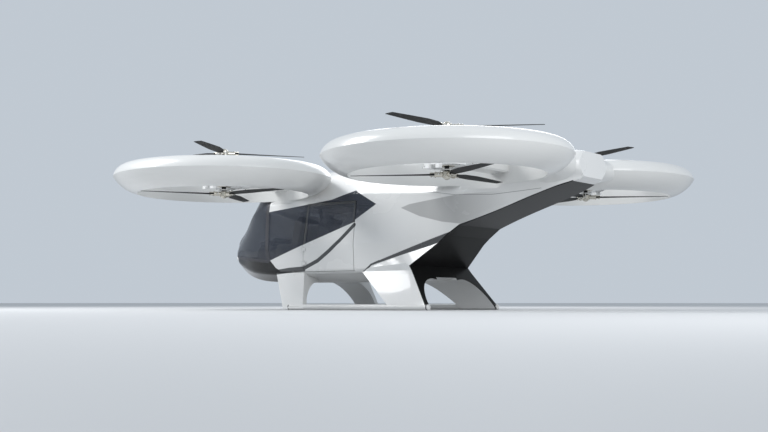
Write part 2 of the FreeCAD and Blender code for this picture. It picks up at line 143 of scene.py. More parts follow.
def mix_colour(tree: bpy.types.NodeTree, factor: object, first: object,
               second: object) -> bpy.types.NodeSocket:
    """Mixes two colours, each a socket or four numbers, by a factor."""
    node = tree.nodes.new("ShaderNodeMix")
    node.data_type = "RGBA"
    for socket, value in ((node.inputs[0], factor), (node.inputs[6], first),
                          (node.inputs[7], second)):
        if isinstance(value, bpy.types.NodeSocket):
            tree.links.new(value, socket)
        else:
            socket.default_value = value
    return node.outputs[2]


def object_point(tree: bpy.types.NodeTree) -> tuple[bpy.types.NodeSocket, ...]:
    """The rest place of the shaded point, as X, Y, Z and the whole vector."""
    place = tree.nodes.new("ShaderNodeTexCoord").outputs["Object"]
    split = tree.nodes.new("ShaderNodeSeparateXYZ")
    tree.links.new(place, split.inputs[0])
    return split.outputs[0], split.outputs[1], split.outputs[2], place


def noise(tree: bpy.types.NodeTree, place: bpy.types.NodeSocket, scale: object,
          detail: float = 3.0) -> bpy.types.NodeSocket:
    """Adds a noise texture over a place and returns its value."""
    node = tree.nodes.new("ShaderNodeTexNoise")
    node.inputs["Detail"].default_value = detail
    if isinstance(scale, bpy.types.NodeSocket):
        tree.links.new(scale, node.inputs["Scale"])
    else:
        node.inputs["Scale"].default_value = scale
    tree.links.new(place, node.inputs["Vector"])
    return node.outputs[0]


class Effects:
    """Shader effects that more than one finish uses, each made once."""

    def __init__(self) -> None:
        """Starts with no group made."""
        self.made: dict[str, bpy.types.NodeTree] = {}

    def group(self, name: str, maker: Callable[[], bpy.types.NodeTree]) -> bpy.types.NodeTree:
        """The group of that name, made on first use."""
        if name not in self.made:
            self.made[name] = maker()
        return self.made[name]

    def variation(self) -> bpy.types.NodeTree:
        """Broad change of tone and of gloss, as sprayed and handled surfaces have."""
        def make() -> bpy.types.NodeTree:
            tree = new_group("tone_variation", (
                ("Colour", "NodeSocketColor", (0.8, 0.8, 0.8, 1.0)),
                ("Dust", "NodeSocketColor", (0.35, 0.33, 0.29, 1.0)),
                ("Roughness", "NodeSocketFloat", 0.3),
                ("Amount", "NodeSocketFloat", 0.1),
                ("Scale", "NodeSocketFloat", 1.5),
            ), (("Colour", "NodeSocketColor"), ("Roughness", "NodeSocketFloat"),
                ("Height", "NodeSocketFloat")))
            start, end = tree.nodes["in"], tree.nodes["out"]
            _, _, height, place = object_point(tree)
            broad = noise(tree, place, start.outputs["Scale"], 4.0)
            fine = noise(tree, place, 60.0, 2.0)
            low = math_node(tree, "MULTIPLY_ADD", height, -0.7, 0.75)
            low = math_node(tree, "MAXIMUM", low, 0.0)
            spread = math_node(tree, "SUBTRACT", broad, 0.42)
            spread = math_node(tree, "MAXIMUM", spread, 0.0)
            spread = math_node(tree, "MULTIPLY_ADD", low, 0.5, spread)
            factor = math_node(tree, "MULTIPLY", spread, start.outputs["Amount"])
            factor = math_node(tree, "MINIMUM", factor, 0.6)
            tree.links.new(mix_colour(tree, factor, start.outputs["Colour"],
                                      start.outputs["Dust"]), end.inputs["Colour"])
            rough = math_node(tree, "MULTIPLY_ADD", factor, 0.8, start.outputs["Roughness"])
            tree.links.new(rough, end.inputs["Roughness"])
            tree.links.new(math_node(tree, "MULTIPLY_ADD", fine, 0.5, broad),
                           end.inputs["Height"])
            return tree
        return self.group("variation", make)

    def line_mask(self) -> bpy.types.NodeTree:
        """Soft-edged mask of a straight line on the body's side, from one point to another."""
        def make() -> bpy.types.NodeTree:
            tree = new_group("side_line", (
                ("From Y", "NodeSocketFloat", 0.0), ("From Z", "NodeSocketFloat", 0.0),
                ("To Y", "NodeSocketFloat", 0.0), ("To Z", "NodeSocketFloat", 1.0),
                ("Half Width", "NodeSocketFloat", 0.01),
            ), (("Mask", "NodeSocketFloat"),))
            start, end = tree.nodes["in"], tree.nodes["out"]
            _, y, z, _ = object_point(tree)
            ay = math_node(tree, "SUBTRACT", y, start.outputs["From Y"])
            az = math_node(tree, "SUBTRACT", z, start.outputs["From Z"])
            by = math_node(tree, "SUBTRACT", start.outputs["To Y"], start.outputs["From Y"])
            bz = math_node(tree, "SUBTRACT", start.outputs["To Z"], start.outputs["From Z"])
            along = math_node(tree, "MULTIPLY_ADD", ay, by, math_node(tree, "MULTIPLY", az, bz))
            square = math_node(tree, "MULTIPLY_ADD", by, by, math_node(tree, "MULTIPLY", bz, bz))
            share = math_node(tree, "DIVIDE", along, square)
            share = math_node(tree, "MINIMUM", math_node(tree, "MAXIMUM", share, 0.0), 1.0)
            dy = math_node(tree, "SUBTRACT", ay, math_node(tree, "MULTIPLY", share, by))
            dz = math_node(tree, "SUBTRACT", az, math_node(tree, "MULTIPLY", share, bz))
            reach = math_node(tree, "MULTIPLY_ADD", dy, dy, math_node(tree, "MULTIPLY", dz, dz))
            reach = math_node(tree, "SQRT", reach)
            inside = math_node(tree, "SUBTRACT", start.outputs["Half Width"], reach)
            mask = math_node(tree, "MULTIPLY_ADD", inside, 900.0, 0.5)
            mask = math_node(tree, "MINIMUM", math_node(tree, "MAXIMUM", mask, 0.0), 1.0)
            tree.links.new(mask, end.inputs["Mask"])
            return tree
        return self.group("line_mask", make)

    def half_plane(self) -> bpy.types.NodeTree:
        """Mask of what lies left of the line from one side-view point to another."""
        def make() -> bpy.types.NodeTree:
            tree = new_group("side_half", (
                ("From Y", "NodeSocketFloat", 0.0), ("From Z", "NodeSocketFloat", 0.0),
                ("To Y", "NodeSocketFloat", 0.0), ("To Z", "NodeSocketFloat", 1.0),
            ), (("Mask", "NodeSocketFloat"),))
            start, end = tree.nodes["in"], tree.nodes["out"]
            _, y, z, _ = object_point(tree)
            ay = math_node(tree, "SUBTRACT", y, start.outputs["From Y"])
            az = math_node(tree, "SUBTRACT", z, start.outputs["From Z"])
            by = math_node(tree, "SUBTRACT", start.outputs["To Y"], start.outputs["From Y"])
            bz = math_node(tree, "SUBTRACT", start.outputs["To Z"], start.outputs["From Z"])
            cross = math_node(tree, "SUBTRACT", math_node(tree, "MULTIPLY", by, az),
                              math_node(tree, "MULTIPLY", bz, ay))
            mask = math_node(tree, "MULTIPLY_ADD", cross, 900.0, 0.5)
            mask = math_node(tree, "MINIMUM", math_node(tree, "MAXIMUM", mask, 0.0), 1.0)
            tree.links.new(mask, end.inputs["Mask"])
            return tree
        return self.group("half_plane", make)


EFFECTS = Effects()


def place_group(tree: bpy.types.NodeTree, group: bpy.types.NodeTree,
                values: dict[str, object]) -> bpy.types.Node:
    """Places a shader group in a material with its own values.

    Args:
        tree: The material's node tree.
        group: The group to place.
        values: Value or socket of each named input.

    Returns:
        The placed node.
    """
    node = tree.nodes.new("ShaderNodeGroup")
    node.node_tree = group
    for name, value in values.items():
        if isinstance(value, bpy.types.NodeSocket):
            tree.links.new(value, node.inputs[name])
        else:
            node.inputs[name].default_value = value
    return node


def line_values(start: Point, end: Point) -> dict[str, float]:
    """The four place inputs of a side line or a side half."""
    return {"From Y": start[0], "From Z": start[1], "To Y": end[0], "To Z": end[1]}


def region_mask(tree: bpy.types.NodeTree, corners: Sequence[Point]) -> bpy.types.NodeSocket:
    """Mask of a convex side-view region whose corners run anticlockwise."""
    mask: object = None
    for here, there in zip(corners, list(corners[1:]) + [corners[0]]):
        node = place_group(tree, EFFECTS.half_plane(), line_values(here, there))
        mask = node.outputs[0] if mask is None else math_node(tree, "MINIMUM", mask,
                                                              node.outputs[0])
    return mask


def stripe_mask(tree: bpy.types.NodeTree, points: Sequence[Point],
                half: float) -> bpy.types.NodeSocket:
    """Mask of a stripe of one width along side-view points."""
    mask: object = None
    for here, there in zip(points, points[1:]):
        values = dict(line_values(here, there))
        values["Half Width"] = half
        node = place_group(tree, EFFECTS.line_mask(), values)
        mask = node.outputs[0] if mask is None else math_node(tree, "MAXIMUM", mask,
                                                              node.outputs[0])
    return mask


# Finishes

@dataclass(frozen=True)
class Finish:
    """A surface finish: its colour, gloss and how much it varies."""

    name: str
    colour: Colour
    roughness: float = 0.3
    metallic: float = 0.0
    coat: float = 0.0
    coat_roughness: float = 0.05
    amount: float = 0.1
    scale: float = 1.5
    bump: float = 0.0
    specular: float = 0.5

    def material(self) -> bpy.types.Material:
        """Makes the material, or returns it if it is there."""
        found = bpy.data.materials.get(self.name)
        if found:
            return found
        made = bpy.data.materials.new(self.name)
        made.use_nodes = True
        tree = made.node_tree
        shader = tree.nodes["Principled BSDF"]
        shader.inputs["Metallic"].default_value = self.metallic
        shader.inputs["Coat Weight"].default_value = self.coat
        shader.inputs["Coat Roughness"].default_value = self.coat_roughness
        shader.inputs["Specular IOR Level"].default_value = self.specular
        node = place_group(tree, EFFECTS.variation(), {
            "Colour": self.colour, "Roughness": self.roughness, "Amount": self.amount,
            "Scale": self.scale})
        tree.links.new(self.painted(tree, node.outputs["Colour"]), shader.inputs["Base Color"])
        tree.links.new(node.outputs["Roughness"], shader.inputs["Roughness"])
        if self.bump:
            bump = tree.nodes.new("ShaderNodeBump")
            bump.inputs["Strength"].default_value = self.bump
            bump.inputs["Distance"].default_value = 0.002
            tree.links.new(node.outputs["Height"], bump.inputs["Height"])
            tree.links.new(bump.outputs[0], shader.inputs["Normal"])
        self.finish(tree, shader)
        return made

    def painted(self, tree: bpy.types.NodeTree,
                colour: bpy.types.NodeSocket) -> bpy.types.NodeSocket:
        """What is painted over the plain colour: nothing, on most finishes."""
        return colour

    def finish(self, tree: bpy.types.NodeTree, shader: bpy.types.Node) -> None:
        """What else the finish sets on its shader: nothing, on most finishes."""


@dataclass(frozen=True)
class BodyPaint(Finish):
    """Pearl-white body paint with the graphite stripes on the sides, and a painted shade under
    the rear shoulder.
    """

    graphite: Colour = (0.045, 0.047, 0.050, 1.0)
    seam: Colour = (0.22, 0.22, 0.22, 1.0)
    stripe_half: float = 0.033
    low_stripe_half: float = 0.045
    rear_stripe_half: float = 0.016
    seam_half: float = 0.0035
    # Grey of the painted shade under the rear shoulder
    shoulder_shade: Colour = (0.40, 0.40, 0.395, 1.0)
    dark_above_window: bool = False
    dark_ahead_of: float | None = None

    def painted_shoulder_shade(self, tree: bpy.types.NodeTree) -> bpy.types.NodeSocket:
        """Mask of the painted shade under the rear shoulder, a grey wedge for the shade of its
        down-facing underside, which fades out to the rear.
        """
        _, y, _, _ = object_point(tree)
        begin, end = SHOULDER_SHADE_FADE
        fade = math_node(tree, "MULTIPLY_ADD", y, -1.0 / (end - begin), end / (end - begin))
        fade = math_node(tree, "MINIMUM", math_node(tree, "MAXIMUM", fade, 0.0), 1.0)
        return math_node(tree, "MULTIPLY", region_mask(tree, SHOULDER_SHADE), fade)

    def painted(self, tree: bpy.types.NodeTree,
                colour: bpy.types.NodeSocket) -> bpy.types.NodeSocket:
        """Paints the side stripes, the roof seam, the dark window frame and the painted shade
        under the rear shoulder.
        """
        dark = stripe_mask(tree, FRONT_STRIPE, self.stripe_half)
        low = stripe_mask(tree, FRONT_STRIPE_LOW, self.low_stripe_half)
        thin = stripe_mask(tree, REAR_STRIPE, self.rear_stripe_half)
        for more in (low, thin, region_mask(tree, REAR_WEDGE)):
            dark = math_node(tree, "MAXIMUM", dark, more)
        # Painted shade: a grey wedge under the rear shoulder, where the shoulder's underside
        # faces down
        colour = mix_colour(tree, self.painted_shoulder_shade(tree), colour, self.shoulder_shade)
        colour = mix_colour(tree, stripe_mask(tree, ROOF_SEAM, self.seam_half), colour,
                            self.seam)
        if self.dark_above_window:
            above = place_group(tree, EFFECTS.half_plane(),
                                line_values(WINDOW_LOW_FRONT, WINDOW_LOW_REAR))
            dark = math_node(tree, "MAXIMUM", dark, above.outputs[0])
        if self.dark_ahead_of is not None:
            _, y, _, _ = object_point(tree)
            ahead = math_node(tree, "LESS_THAN", y, self.dark_ahead_of)
            dark = math_node(tree, "MAXIMUM", dark, ahead)
        return mix_colour(tree, dark, colour, self.graphite)


@dataclass(frozen=True)
class TintedGlass(Finish):
    """Dark tinted glazing that lets the cabin show faintly."""

    transmission: float = 1.0
    alpha: float = 1.0

    def finish(self, tree: bpy.types.NodeTree, shader: bpy.types.Node) -> None:
        """Sets the glass's own values on the shader."""
        shader.inputs["Transmission Weight"].default_value = self.transmission
        shader.inputs["IOR"].default_value = 1.45
        shader.inputs["Alpha"].default_value = self.alpha


BODY_WHITE = BodyPaint("body_white", (0.70, 0.70, 0.69, 1.0), 0.26, coat=0.6, amount=0.10)
DOOR_WHITE = BodyPaint("door_white", (0.70, 0.70, 0.69, 1.0), 0.26, coat=0.6, amount=0.10,
                       dark_above_window=True)
BELLY_WHITE = BodyPaint("belly_white", (0.70, 0.70, 0.69, 1.0), 0.42, specular=0.25,
                        graphite=(0.010, 0.010, 0.011, 1.0), dark_ahead_of=-2.20)
DUCT_WHITE = Finish("duct_white", (0.68, 0.68, 0.665, 1.0), 0.28, coat=0.5, amount=0.12)
HOUSING_WHITE = Finish("housing_white", (0.74, 0.74, 0.74, 1.0), 0.3, coat=0.3, amount=0.08)
GEAR_WHITE = Finish("gear_white", (0.70, 0.70, 0.69, 1.0), 0.3, coat=0.4, amount=0.2)
GLOSS_BLACK = Finish("gloss_black", (0.005, 0.005, 0.005, 1.0), 0.36, coat=0.0, amount=0.01,
                     specular=0.13)
GRAPHITE = Finish("frame_graphite", (0.010, 0.011, 0.013, 1.0), 0.35, coat=0.0, amount=0.02,
                  specular=0.16)
BLADE_BLACK = Finish("blade_black", (0.005, 0.005, 0.0055, 1.0), 0.48, amount=0.02, bump=0.05,
                     specular=0.14)
FLOOR_GREY = Finish("floor_grey", (0.14, 0.14, 0.145, 1.0), 0.7, amount=0.2, bump=0.3)
CASE_GREY = Finish("case_grey", (0.22, 0.23, 0.24, 1.0), 0.5, amount=0.1)
SEAT_LEATHER = Finish("seat_leather", (0.30, 0.28, 0.26, 1.0), 0.5, amount=0.15, scale=6.0,
                      bump=0.25)
PANEL_TRIM = Finish("panel_trim", (0.24, 0.24, 0.245, 1.0), 0.55, amount=0.1, bump=0.1)
HUB_METAL = Finish("hub_metal", (0.62, 0.59, 0.52, 1.0), 0.24, metallic=1.0, amount=0.1)
BRIGHT_STEEL = Finish("bright_steel", (0.72, 0.72, 0.71, 1.0), 0.18, metallic=1.0, amount=0.06)
RUBBER = Finish("rubber_black", (0.015, 0.015, 0.015, 1.0), 0.6, amount=0.05)
BELT_BLACK = Finish("belt_black", (0.02, 0.02, 0.022, 1.0), 0.7, amount=0.1, bump=0.3)
SCREEN = Finish("screen_glass", (0.01, 0.013, 0.02, 1.0), 0.08, coat=0.6, amount=0.0)
GLASS = TintedGlass("tinted_glass", (0.10, 0.115, 0.13, 1.0), 0.03, amount=0.0)
NOSE_GLASS = TintedGlass("nose_glass_dark", (0.018, 0.019, 0.021, 1.0), 0.03, amount=0.0)

NODE_FINISH: dict[str, Finish] = {
    "tail_boom": BODY_WHITE, "belly_shell": BELLY_WHITE, "roof_shell": BODY_WHITE,
    "back_panel": GLOSS_BLACK, "canopy_frame": GRAPHITE, "windscreen": GLASS,
    "nose_glass": NOSE_GLASS, "cabin_floor": FLOOR_GREY, "rear_bulkhead": FLOOR_GREY,
    "battery_block": CASE_GREY, "seats": SEAT_LEATHER, "instrument_panel": PANEL_TRIM,
}
for _side in SIDES:
    NODE_FINISH["side_" + _side] = BODY_WHITE
    NODE_FINISH["door_" + _side] = DOOR_WHITE
    NODE_FINISH["door_glass_" + _side] = GLASS
    NODE_FINISH["side_window_" + _side] = GLASS
    NODE_FINISH["skid_" + _side] = GEAR_WHITE
    for _end in ENDS:
        NODE_FINISH[f"{_end}_leg_{_side}"] = BODY_WHITE
        NODE_FINISH[f"duct_{_end}_{_side}"] = DUCT_WHITE
        NODE_FINISH[f"strut_{_end}_{_side}"] = DUCT_WHITE
        NODE_FINISH[f"motor_housing_{_end}_{_side}"] = HOUSING_WHITE
        for _level in LEVELS:
            NODE_FINISH[f"rotor_{_level}_{_end}_{_side}"] = BLADE_BLACK


def dress_nodes(nodes: dict[str, bpy.types.Object]) -> None:
    """Gives every CAD node its finish."""
    for name, node in nodes.items():
        node.data.materials.clear()
        node.data.materials.append(NODE_FINISH[name].material())


# Making meshes

class Shape:
    """Gathers simple forms in one mesh and makes a piece of them."""

    def __init__(self) -> None:
        """Starts with an empty mesh."""
        self.mesh = bmesh.new()

    def box(self, centre: Sequence[float], size: Sequence[float], bevel: float = 0.0,
            turn: Matrix | None = None, segments: int = 2) -> "Shape":
        """Adds a box, with its edges rounded if asked.

        Args:
            centre: The middle of the box.
            size: Its lengths along X, Y and Z before it is turned.
            bevel: Radius of its edges.
            turn: A rotation about its middle.
            segments: Faces across each rounded edge.

        Returns:
            The shape itself.
        """
        matrix = Matrix.Translation(Vector(centre))
        if turn is not None:
            matrix = matrix @ turn.to_4x4()
        matrix = matrix @ Matrix.Diagonal(Vector((*size, 1.0)))
        made = bmesh.ops.create_cube(self.mesh, size=1.0, matrix=matrix)
        if bevel:
            edges = list({edge for vert in made["verts"] for edge in vert.link_edges})
            bmesh.ops.bevel(self.mesh, geom=edges, offset=bevel, segments=segments,
                            profile=0.5, affect="EDGES", clamp_overlap=True)
        return self

    def rod(self, start: Sequence[float], end: Sequence[float], radius: float,
            end_radius: float | None = None, segments: int = 20) -> "Shape":
        """Adds a round rod or cone between two points."""
        a, b = Vector(start), Vector(end)
        along = b - a
        matrix = Matrix.Translation((a + b) / 2)
        matrix = matrix @ along.to_track_quat("Z", "Y").to_matrix().to_4x4()
        bmesh.ops.create_cone(self.mesh, cap_ends=True, segments=segments, radius1=radius,
                              radius2=radius if end_radius is None else end_radius,
                              depth=along.length, matrix=matrix)
        return self

    def lathe(self, centre: Sequence[float], profile: Sequence[Point], segments: int = 64,
              start: float = 0.0, sweep: float = 360.0, turn: Matrix | None = None) -> "Shape":
        """Turns a profile of (radius, height) points about an upright axis.

        Args:
            centre: The axis's foot.
            profile: The points of the profile, from one end to the other.
            segments: Faces around the turn.
            start: First angle in degrees.
            sweep: Angle turned through, in degrees.
            turn: A rotation of the whole, about the centre.

        Returns:
            The shape itself.
        """
        whole = abs(sweep - 360.0) < 1e-6
        count = segments if whole else segments + 1
        rings = []
        for index in range(count):
            angle = math.radians(start + sweep * index / segments)
            ring = []
            for radius, height in profile:
                point = Vector((radius * math.cos(angle), radius * math.sin(angle), height))
                if turn is not None:
                    point = turn @ point
                ring.append(self.mesh.verts.new(Vector(centre) + point))
            rings.append(ring)
        for index in range(segments):
            here, there = rings[index], rings[(index + 1) % count]
            for step in range(len(profile) - 1):
                corners = [here[step], there[step], there[step + 1], here[step + 1]]
                self.mesh.faces.new(corners)
        return self

    def tube(self, points: Sequence[Sequence[float]], radius: float,
             segments: int = 12) -> "Shape":
        """Adds a round tube along a line of points."""
        places = [Vector(point) for point in points]
        rings = []
        for index, place in enumerate(places):
            ahead = places[min(index + 1, len(places) - 1)] - places[max(index - 1, 0)]
            turn = ahead.to_track_quat("Z", "Y").to_matrix()
            ring = []
            for step in range(segments):
                angle = 2 * math.pi * step / segments
                side = Vector((radius * math.cos(angle), radius * math.sin(angle), 0))
                ring.append(self.mesh.verts.new(place + turn @ side))
            rings.append(ring)
        for here, there in zip(rings, rings[1:]):
            for step in range(segments):
                follow = (step + 1) % segments
                self.mesh.faces.new([here[step], here[follow], there[follow], there[step]])
        self.mesh.faces.new(rings[0][::-1])
        self.mesh.faces.new(rings[-1])
        return self

    def ball(self, centre: Sequence[float], radius: float) -> "Shape":
        """Adds a ball."""
        bmesh.ops.create_uvsphere(self.mesh, u_segments=20, v_segments=12, radius=radius,
                                  matrix=Matrix.Translation(Vector(centre)))
        return self

    def prism(self, outline: Sequence[Sequence[float]], push: Sequence[float]) -> "Shape":
        """Adds the body that a flat outline sweeps along a vector."""
        low = [self.mesh.verts.new(Vector(point)) for point in outline]
        high = [self.mesh.verts.new(Vector(point) + Vector(push)) for point in outline]
        self.mesh.faces.new(low[::-1])
        self.mesh.faces.new(high)
        for index in range(len(outline)):
            follow = (index + 1) % len(outline)
            self.mesh.faces.new([low[index], low[follow], high[follow], high[index]])
        return self

    def piece(self, name: str, finish: Finish, body: str, slot: str,
              sharp: float = 35.0) -> bpy.types.Object:
        """Makes the object, gives it its finish and lets it ride on its body.

        Args:
            name: The piece's name.
            finish: Its finish.
            body: The CAD body that carries it.
            slot: The record's material slot it belongs to; not used.
            sharp: Edges sharper than this angle, in degrees, stay crisp.

        Returns:
            The new object.
        """
        bmesh.ops.recalc_face_normals(self.mesh, faces=self.mesh.faces)
        data = bpy.data.meshes.new(name)
        self.mesh.to_mesh(data)
        self.mesh.free()
        data.shade_smooth()
        data.set_sharp_from_angle(angle=math.radians(sharp))
        data.materials.append(finish.material())
        item = bpy.data.objects.new(name, data)
        bpy.context.scene.collection.objects.link(item)
        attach(item, body)
        LOG.info("%s: %d faces on %s", name, len(data.polygons), body)
        return item


def polar(centre: Sequence[float], radius: float, angle: float, z: float) -> Vector:
    """The point at a radius and an angle in degrees around an upright axis."""
    turn = math.radians(angle)
    return Vector((centre[0] + radius * math.cos(turn), centre[1] + radius * math.sin(turn), z))


# Rotors and motors

@dataclass
class RotorDress:
    """Hub, blade grips and pitch links of one rotor."""

    name: str
    place: Vector
    outward: int
    blades: int = 3
    hub_radius: float = 0.070
    hub_half: float = 0.043
    cap_radius: float = 0.052
    cap_height: float = 0.034
    sleeve_radius: float = 0.036
    sleeve_reach: Point = (0.060, 0.175)
    clamp_at: float = 0.205
    clamp_size: tuple[float, float, float] = (0.085, 0.074, 0.012)
    clamp_gap: float = 0.021
    ring_radius: float = 0.088
    ring_offset: float = 0.066
    link_angle: float = 26.0
    link_radius: float = 0.007

    def blade_angle(self) -> float:
        """Angle of one blade at rest, in degrees, read from the rotor's own tips."""
        node = bpy.data.objects[self.name]
        tips_x, tips_y = 0.0, 0.0
        reach = 0.0
        for vertex in node.data.vertices:
            reach = max(reach, (vertex.co - self.place).to_2d().length)
        for vertex in node.data.vertices:
            arm = (vertex.co - self.place).to_2d()
            if arm.length > 0.985 * reach:
                angle = math.atan2(arm.y, arm.x) * self.blades
                tips_x += math.cos(angle)
                tips_y += math.sin(angle)
        return math.degrees(math.atan2(tips_y, tips_x)) / self.blades

    def build(self) -> None:
        """Makes the rotor's metal parts."""
        first = self.blade_angle()
        self.hub()
        self.grips(first)
        self.links(first)

    def hub(self) -> None:
        """Turned hub with its domed cap on the outer side."""
        side = self.outward
        half, radius = self.hub_half, self.hub_radius
        profile = [(0.037, -side * half), (radius - 0.008, -side * half),
                   (radius, -side * (half - 0.008)), (radius, side * (half - 0.010)),
                   (radius - 0.010, side * half), (self.cap_radius, side * half)]
        steps = 6
        for index in range(1, steps + 1):
            turn = math.pi / 2 * index / steps
            profile.append((max(self.cap_radius * math.cos(turn), 0.0005),
                            side * (half + self.cap_height * math.sin(turn))))
        shape = Shape().lathe(self.place, profile, 48)
        for index in range(6):
            foot = polar(self.place, 0.062, 60.0 * index, self.place.z + side * (half - 0.004))
            shape.rod(foot, foot + Vector((0, 0, side * 0.010)), 0.0055, segments=6)
        shape.piece(f"hub_{self.name}", HUB_METAL, self.name, "blade_black")

    def grips(self, first: float) -> None:
        """Sleeves and bolted clamps that hold the blade roots."""
        sleeves, bolts = Shape(), Shape()
        for index in range(self.blades):
            angle = first + 360.0 / self.blades * index
            turn = Matrix.Rotation(math.radians(angle), 3, "Z")
            near, far = self.sleeve_reach
            sleeves.rod(polar(self.place, near, angle, self.place.z),
                        polar(self.place, far, angle, self.place.z), self.sleeve_radius,
                        segments=28)
            sleeves.rod(polar(self.place, far - 0.018, angle, self.place.z),
                        polar(self.place, far, angle, self.place.z),
                        self.sleeve_radius + 0.007, segments=28)
            middle = polar(self.place, self.clamp_at, angle, self.place.z)
            for side in (-1, 1):
                lift = Vector((0, 0, side * self.clamp_gap))
                sleeves.box(middle + lift, self.clamp_size, 0.003, turn)
                for along in (-0.026, 0.026):
                    for across in (-0.024, 0.024):
                        foot = middle + lift + turn @ Vector((along, across, 0))
                        bolts.rod(foot, foot + Vector((0, 0, side * 0.014)), 0.0075,
                                  segments=6)
        sleeves.piece(f"grips_{self.name}", HUB_METAL, self.name, "blade_black")
        bolts.piece(f"clamp_bolts_{self.name}", BRIGHT_STEEL, self.name, "blade_black")

    def links(self, first: float) -> None:
        """Pitch ring on the motor side with a link to each blade sleeve."""
        side = -self.outward
        level = self.place.z + side * self.ring_offset
        outer, inner = self.ring_radius, self.ring_radius - 0.022
        shape = Shape().lathe((self.place.x, self.place.y, level), [
            (inner, -0.009), (outer - 0.004, -0.009), (outer, -0.005), (outer, 0.005),
            (outer - 0.004, 0.009), (inner, 0.009), (inner, -0.009)], 48)
        for index in range(self.blades):
            angle = first + 360.0 / self.blades * index
            shape.rod(polar(self.place, 0.034, angle + 60, level),
                      polar(self.place, inner + 0.004, angle + 60, level), 0.008, segments=12)
            low = polar(self.place, outer, angle + self.link_angle, level)
            high = polar(self.place, 0.128, angle + self.link_angle, self.place.z)
            horn = polar(self.place, 0.120, angle, self.place.z)
            shape.rod(low, high, self.link_radius, segments=12)
            shape.rod(high, horn, 0.010, 0.016, segments=12)
            shape.ball(low, 0.013).ball(high, 0.014)
        shape.piece(f"pitch_links_{self.name}", BRIGHT_STEEL, self.name, "blade_black")


@dataclass
class HousingDress:
    """Bright rim, bolts, terminal blocks and leads of one motor housing."""

    end: str
    side: str
    radius: float = 0.325
    flange_radius: float = 0.430
    flange_thick: float = 0.024
    rim_wall: float = 0.006
    bottom: float = 2.075
    bolts: int = 18
    bolt_radius: float = 0.009
    bolt_inset: float = 0.022
    groove: Point = (2.2855, 2.2985)
    groove_depth: Point = (0.010, 0.006)
    boss_radii: tuple[float, ...] = (0.045, 0.100, 0.118, 0.120)
    boss_height: float = 0.012
    block_out: float = 0.355
    block_size: tuple[float, float, float] = (0.075, 0.20, 0.06)
    lead_places: tuple[float, ...] = (-0.06, 0.0, 0.06)
    stay_across: float = 0.16
    stay_reach: Point = (0.34, 0.47)
    stay_rise: Point = (-0.010, 0.030)

    def build(self) -> None:
        """Makes the housing's small parts."""
        duct_low, duct_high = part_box(f"duct_{self.end}_{self.side}")
        self.centre = (duct_low + duct_high) / 2
        self.inboard = 180.0 if self.centre.x > 0 else 0.0
        self.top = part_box(f"motor_housing_{self.end}_{self.side}")[1].z
        self.tag = f"{self.end}_{self.side}"
        self.rim()
        self.caps()
        self.leads()

    def rim(self) -> None:
        """Bright strip round the flange's edge and the trim ring under the housing."""
        low, high = self.bottom - 0.002, self.bottom + self.flange_thick + 0.002
        outer = self.flange_radius + self.rim_wall
        inner = self.flange_radius + 0.0005
        strip = [(inner, low), (outer - 0.002, low), (outer, low + 0.003),
                 (outer, high - 0.003), (outer - 0.002, high), (inner, high), (inner, low)]
        foot = (self.centre.x, self.centre.y, 0.0)
        shape = Shape().lathe(foot, strip, 40, self.inboard - 90.0, 180.0)
        shape.piece(f"flange_rim_{self.tag}", BRIGHT_STEEL, "airframe", "housing_white")
        edge = self.radius + 0.004
        ring = [(self.radius - 0.03, self.bottom - 0.0045), (edge - 0.003, self.bottom - 0.0045),
                (edge, self.bottom - 0.001), (edge, self.bottom + 0.016),
                (self.radius + 0.0005, self.bottom + 0.019)]
        Shape().lathe(foot, ring, 96).piece(f"housing_trim_{self.tag}", HOUSING_WHITE,
                                            "airframe", "housing_white")

    def caps(self) -> None:
        """Bolt heads in two rings, a boss round each shaft and a dark band in the groove."""
        bolts = Shape()
        for index in range(self.bolts):
            angle = 360.0 / self.bolts * (index + 0.5)
            for z, side in ((self.bottom - 0.004, -1), (self.top, 1)):
                foot = polar(self.centre, self.radius - self.bolt_inset, angle, z)
                bolts.rod(foot, foot + Vector((0, 0, side * self.bolt_radius)),
                          self.bolt_radius, segments=6)
        bolts.piece(f"housing_bolts_{self.tag}", BRIGHT_STEEL, "airframe", "housing_white")
        bosses = Shape()
        foot = (self.centre.x, self.centre.y, 0.0)
        bore, flat, chamfer, edge = self.boss_radii
        for z, side in ((self.bottom, -1), (self.top, 1)):
            face = z + side * self.boss_height
            bosses.lathe(foot, [(bore, z), (bore, face), (flat, face),
                                (chamfer, z + side * 0.005), (edge, z)], 64)
        bosses.piece(f"shaft_boss_{self.tag}", HUB_METAL, "airframe", "housing_white")
        low, high = self.groove
        inner, outer = (self.radius - depth for depth in self.groove_depth)
        band = [(inner, low), (outer, low), (outer, high), (inner, high)]
        Shape().lathe(foot, band, 96).piece(f"groove_band_{self.tag}", RUBBER, "airframe",
                                              "housing_white")

    def leads(self) -> None:
        """Terminal block over the strut with its power leads, and two stay rods below."""
        way = 1.0 if self.inboard == 0.0 else -1.0
        x, y = self.centre.x, self.centre.y
        shape = Shape()
        block_x = x + way * self.block_out
        shape.box((block_x, y, self.top - 0.045), self.block_size, 0.006)
        for across in self.lead_places:
            shape.rod((block_x - way * 0.04, y + across, self.top + 0.012),
                      (block_x + way * 0.04, y + across, self.top + 0.012), 0.011, segments=16)
            shape.box((block_x, y + across, self.top - 0.008), (0.05, 0.034, 0.030), 0.004)
        shape.piece(f"terminal_block_{self.tag}", BRIGHT_STEEL, "airframe", "housing_white")
        fitting = Shape()
        for across in (-self.stay_across, self.stay_across):
            inner = (x + way * self.stay_reach[0], y + across, self.bottom + self.stay_rise[0])
            outer = (x + way * self.stay_reach[1], y + across * 0.8,
                     self.bottom + self.stay_rise[1])
            fitting.rod(inner, outer, 0.014, segments=16)
            fitting.ball(inner, 0.021)
            fitting.ball(outer, 0.019)
        fitting.piece(f"stay_rods_{self.tag}", BRIGHT_STEEL, "airframe", "housing_white")


# Cabin

